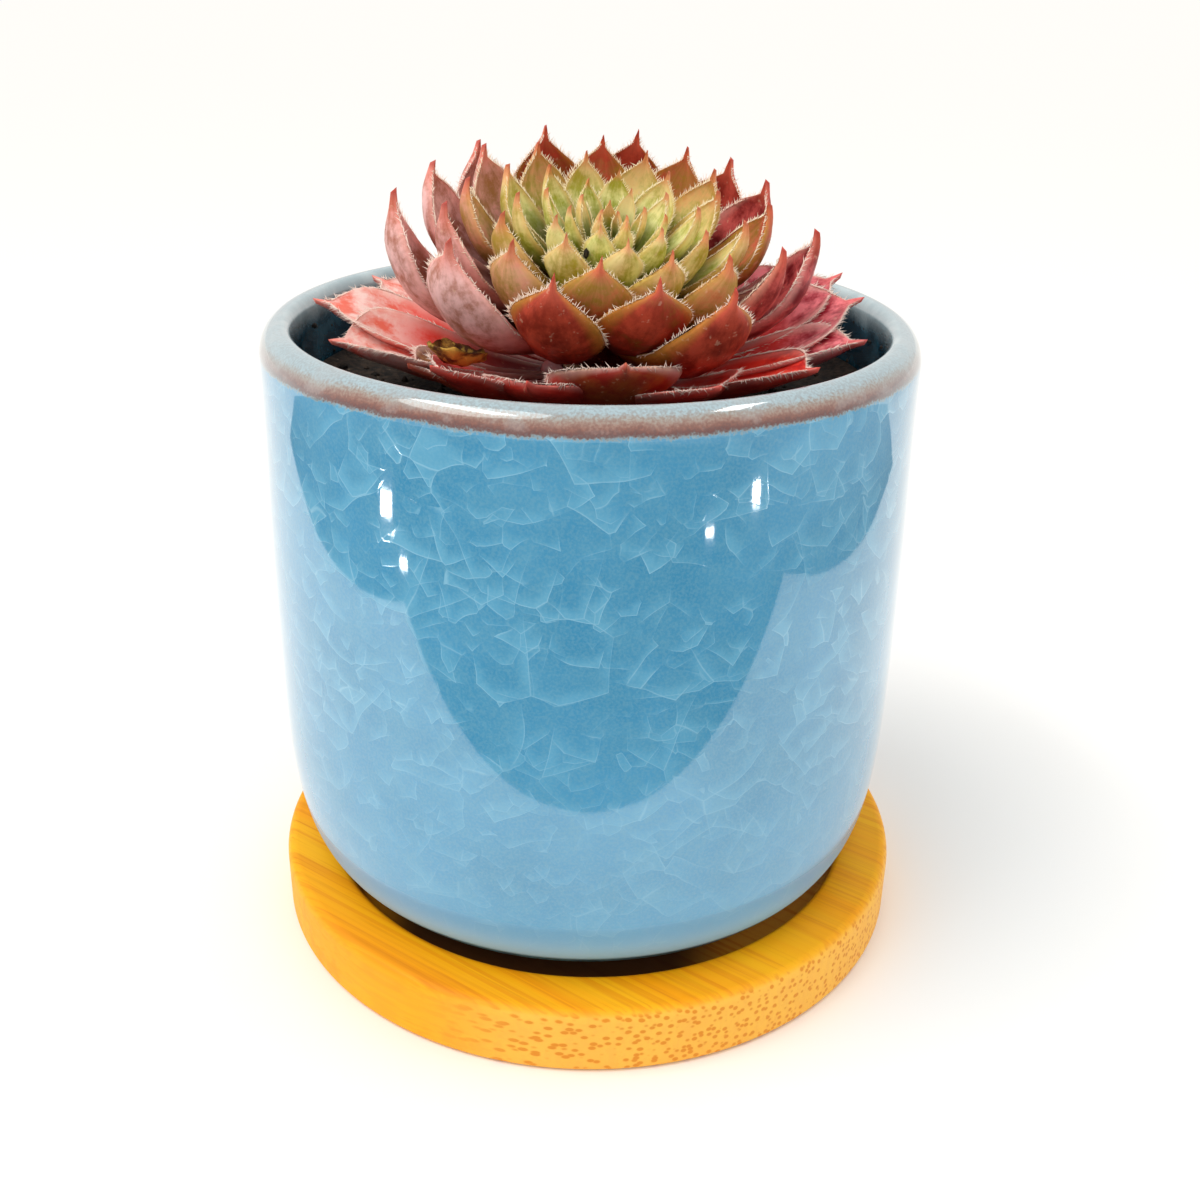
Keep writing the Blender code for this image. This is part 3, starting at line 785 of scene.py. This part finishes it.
# %% Grow the head
draw = random.Random(7)
SOIL_DRAWS = 6 * 32           # the solids draw their soil first, from the same seed
for _ in range(SOIL_DRAWS):
    draw.random()


def head_axes():
    up = Vector((math.sin(LEAN_RIGHT), -math.sin(LEAN_FRONT) * math.cos(LEAN_RIGHT),
                 math.cos(LEAN_FRONT) * math.cos(LEAN_RIGHT)))
    right = (Vector((1, 0, 0)) - up * up.x).normalized()
    return right, up.cross(right), up


def head_leaf(k):
    t = (k + 3.578) / 58.578
    reach = HEAD_REACH * t ** 0.857
    x = reach / (25 * MM)
    height = (7.675 * x - 6.35 * x * x) * MM
    if k == 50:
        height -= 1.6 * MM
    if k == 52:
        reach -= 1.5 * MM
    root = (0.6 * MM + 3.6 * MM * t, -5.5 * MM - 10.9 * MM * t ** 0.8)
    line = spine(root, (reach, height), math.radians(70 - 66 * t), math.radians(96),
                 0.42 + 0.18 * t, 0.33 + 0.08 * t)
    width = min(HEAD_WIDTH, 1.4 * MM + 12.8 * MM * t ** 1.12) * draw.uniform(0.94, 1.06)
    shape = (HEAD_SHAPE[0], HEAD_SHAPE[1], HEAD_SHAPE[2] + OUTER_BLUNT * t)
    return PHASE + k * GOLDEN, line, width, shape, HEAD_TWIST * math.sin(2.4 * k), t


hairs = new_batch(("along", "age", "tint"))


def grow_head():
    right, back, up = head_axes()
    body, rng = new_batch(MARKS), random.Random(21)
    core = [(0.0, -18.2), (5.4, -17.9), (6.6, -16.0), (5.6, -12.0), (3.0, -7.5), (0.0, -4.6)]
    grown = turned([(r * MM, z * MM) for r, z in core], 24)
    for v in grown.verts:
        v.co = PLACE + HEAD_AT + right * v.co.x + back * v.co.y + up * v.co.z
    copy_in(grown, body, age=1.0)
    count = 0
    for k in range(-3, 54):
        turn, line, width, shape, twist, t = head_leaf(k)
        if k == 51:
            continue
        out = right * math.cos(turn) + back * math.sin(turn)
        rosy = max(0.0, min(1.0, (t - 0.50) / 0.3)) * max(0.0, min(1.0, (-out.x - 0.45) / 0.3))
        wine = max(0.0, min(1.0, (t - 0.62) / 0.25)) * max(0.0, min(1.0, (out.x - 0.55) / 0.3))
        grow_leaf(body, hairs, PLACE + HEAD_AT, out, up, line, width, (1.0 + 1.5 * t) * MM, 0.24,
                  shape, rng, t, roll=twist, rings=14 if k < 12 else 24, rosy=rosy, wine=wine,
                  hair=0.55 + 0.40 * t)
        count += 1
    print("head leaves:", count)
    return body["bm"]


def copy_in(other, body, age):
    made = {}
    for v in other.verts:
        made[v] = body["bm"].verts.new(v.co)
        made[v][body["age"]] = age
    for face in other.faces:
        body["bm"].faces.new([made[v] for v in face.verts])
    other.free()


finish_piece(grow_head(), "head_leaves", head_skin(), "leaf_green_red",
             "rosette_head")

# %% [markdown]
# ## Lower leaves
# The oldest leaves lie open and lean against each other. They do not follow the spiral any
# more, so a short list gives the angle, reach and tilt of each one.

# %% Grow the lower leaves
def grow_lower():
    body, rng = new_batch(MARKS), random.Random(5)
    ring = [(4.0, 70.6), (6.2, 70.6), (7.0, 71.5), (6.2, 72.8), (4.0, 72.9)]
    copy_in(turned([(r * MM, z * MM) for r, z in ring], 36, PLACE + STEM_AT), body, age=1.2)
    for n, (deg, reach, tip_z, width, cup, slope, roll) in enumerate(LOWER):
        a = math.radians(deg)
        out = Vector((math.cos(a), math.sin(a), 0.0))
        root = (5.2 * MM, 71.9 * MM + draw.uniform(-0.25, 0.25) * MM)
        line = spine(root, (reach * MM, tip_z * MM), math.radians(4), math.radians(slope))
        grow_leaf(body, hairs, PLACE + STEM_AT, out, Vector((0, 0, 1)), line, width * MM,
                  2.0 * MM, cup, LOWER_SHAPE, rng, 1.2, roll=math.radians(roll),
                  rosy=1.0 if n in (4, 6) else 0.0, wine=1.0 if n > 6 else 0.0,
                  hot=1.0 if n in (3, 5, 7, 8) else 0.0, hair=0.95)
    return body["bm"]


finish_piece(grow_lower(), "lower_leaves", lower_skin(), "leaf_pink",
             "splayed_leaves")
finish_piece(hairs["bm"], "leaf_fringe", hair_skin(), "leaf_pink")

# %% [markdown]
# ## Soil, stem and the dry leaf
# The mix is dark and gritty. Noise lifts its surface, and a few hundred crumbs lie on it and
# cling to the glaze. The stem keeps its solid and gets bark. The dry leaf is thin and curled.

# %% Soil
def soil_skin():
    f = Finish("dark_mix", IOR=1.4)
    at = f.place()
    grit = f.clouds(at, 900.0, 5.0, 0.7)
    bits = f.cells(at, 700.0)
    colour = f.mix(grit.rise(0.35, 0.7), (0.012, 0.010, 0.009), (0.075, 0.050, 0.034))
    colour = f.mix(bits.rise(0.16, 0.06) * 0.5, colour, (0.30, 0.24, 0.18))
    return f.show(Base_Color=colour, Roughness=0.75 + grit * 0.2,
                  Normal=f.bump(grit + bits * 0.5, 0.4 * MM, 0.9))


def soil_lift(x, y, z):
    if z < 69.0 * MM:
        return 0.0
    spot = Vector((x, y, 0)) / MM
    edge = min(1.0, max(0.0, (35.6 - math.hypot(x, y) / MM) / 2))
    lumps = noise.fractal(spot * 0.22, 0.8, 2.1, 4) * 0.45 + noise.noise(spot * 1.1) * 0.18
    return lumps * MM * edge


def grow_soil():
    side = [(24.6, 13.3), (30.6, 15.3), (34.2, 20.3), (35.6, 28.3), (36.0, 44.3), (35.7, 64.3)]
    inward = [(34.2 - i * 0.9, 70.0 + 0.9 * max(0, 1 - i / 7)) for i in range(1, 33)]
    top = [(35.6, 71.4), (34.2, 71.0)] + inward + [(4.4, 69.6)]
    outline = [(0.0, 13.1)] + side + top + [(0.0, 69.4)]
    return turned([(r * MM, z * MM) for r, z in outline], 120, PLACE, soil_lift)


def crumb(bm, at, size, rng):
    made = bmesh.ops.create_icosphere(bm, subdivisions=1, radius=size)
    squash = Vector([rng.uniform(0.6, 1.1) for _ in range(3)])
    for v in made["verts"]:
        v.co = at + Vector([c * q for c, q in zip(v.co, squash)]) * rng.uniform(0.8, 1.15)


LOOSE_CRUMBS, WALL_CRUMBS, WALL_R = 420, 90, 35.95 * MM


def grow_crumbs():
    bm, rng = bmesh.new(), random.Random(3)
    for _ in range(LOOSE_CRUMBS):
        a, r = rng.uniform(0, 2 * math.pi), 35.0 * math.sqrt(rng.uniform(0.05, 1)) * MM
        x, y = r * math.cos(a), r * math.sin(a)
        z = 70.0 * MM + (0.9 * MM * max(0.0, (r / MM - 28) / 7)) + soil_lift(x, y, 0.07)
        crumb(bm, PLACE + Vector((x, y, z)), rng.uniform(0.22, 0.75) * MM, rng)
    for _ in range(WALL_CRUMBS):
        a, z = rng.uniform(0, 2 * math.pi), (70.8 + 6.5 * rng.random() ** 1.8) * MM
        x, y = WALL_R * math.cos(a), WALL_R * math.sin(a)
        crumb(bm, PLACE + Vector((x, y, z)), rng.uniform(0.15, 0.42) * MM, rng)
    # One crumb high on the glaze at the left, and one speck caught between leaves of the heart
    crumb(bm, Vector((-35.6, 6.3, 76.8)) * MM, 0.5 * MM, rng)
    crumb(bm, Vector((-1.3, -6.0, 88.8)) * MM, 0.6 * MM, rng)
    return bm


mix = soil_skin()
finish_piece(grow_soil(), "soil_bed", mix, "soil", "potting_soil")
finish_piece(grow_crumbs(), "soil_crumbs", mix, "soil", smooth=False)


# %% Stem and dry leaf
def bark():
    f = Finish("stem_bark", Roughness=0.85)
    at = f.place()
    ring = f.clouds(f.vector("MULTIPLY", at, (1.0, 1.0, 4.0)), 350.0, 4.0)
    return f.show(Base_Color=f.mix(ring.rise(0.35, 0.65), (0.10, 0.05, 0.025), (0.32, 0.19, 0.10)),
                  Normal=f.bump(ring, 0.3 * MM, 0.8))


stem_skin = bark()
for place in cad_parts["stem"].material_slots:
    place.material = stem_skin


def dry_skin():
    f = Finish("dry_leaf", IOR=1.4)
    at = f.place()
    patch, crack = f.clouds(at, 420.0, 4.0), f.clouds(at, 1500.0, 3.0)
    colour = f.mix(patch.rise(0.4, 0.6), (0.10, 0.035, 0.012), (0.62, 0.33, 0.05))
    colour = f.mix(crack.rise(0.55, 0.7) * 0.6, colour, (0.80, 0.52, 0.10))
    return f.show(Base_Color=colour, Roughness=0.55 + crack * 0.3,
                  Normal=f.bump(patch + crack * 0.5, 0.3 * MM, 0.8))


def grow_dry_leaf():
    body = new_batch(MARKS)
    a = math.radians(200)
    out = Vector((math.cos(a), math.sin(a), 0.0))
    line = spine((0.0, 77.7 * MM), (6.6 * MM, 80.0 * MM), math.radians(-14), math.radians(64))
    grow_leaf(body, None, PLACE + Vector((-12.2, -10.8, 0.0)) * MM, out, Vector((0, 0, 1)), line,
              5.0 * MM, 0.9 * MM, 0.55, HEAD_SHAPE, random.Random(2), 1.0)
    for v in body["bm"].verts:
        crumple = noise.noise_vector(v.co * 900) * 0.4 + noise.noise_vector(v.co * 380) * 0.3
        v.co += crumple * MM
    return body["bm"]


finish_piece(grow_dry_leaf(), "dry_leaf", dry_skin(), "dry_leaf", "withered_leaf")
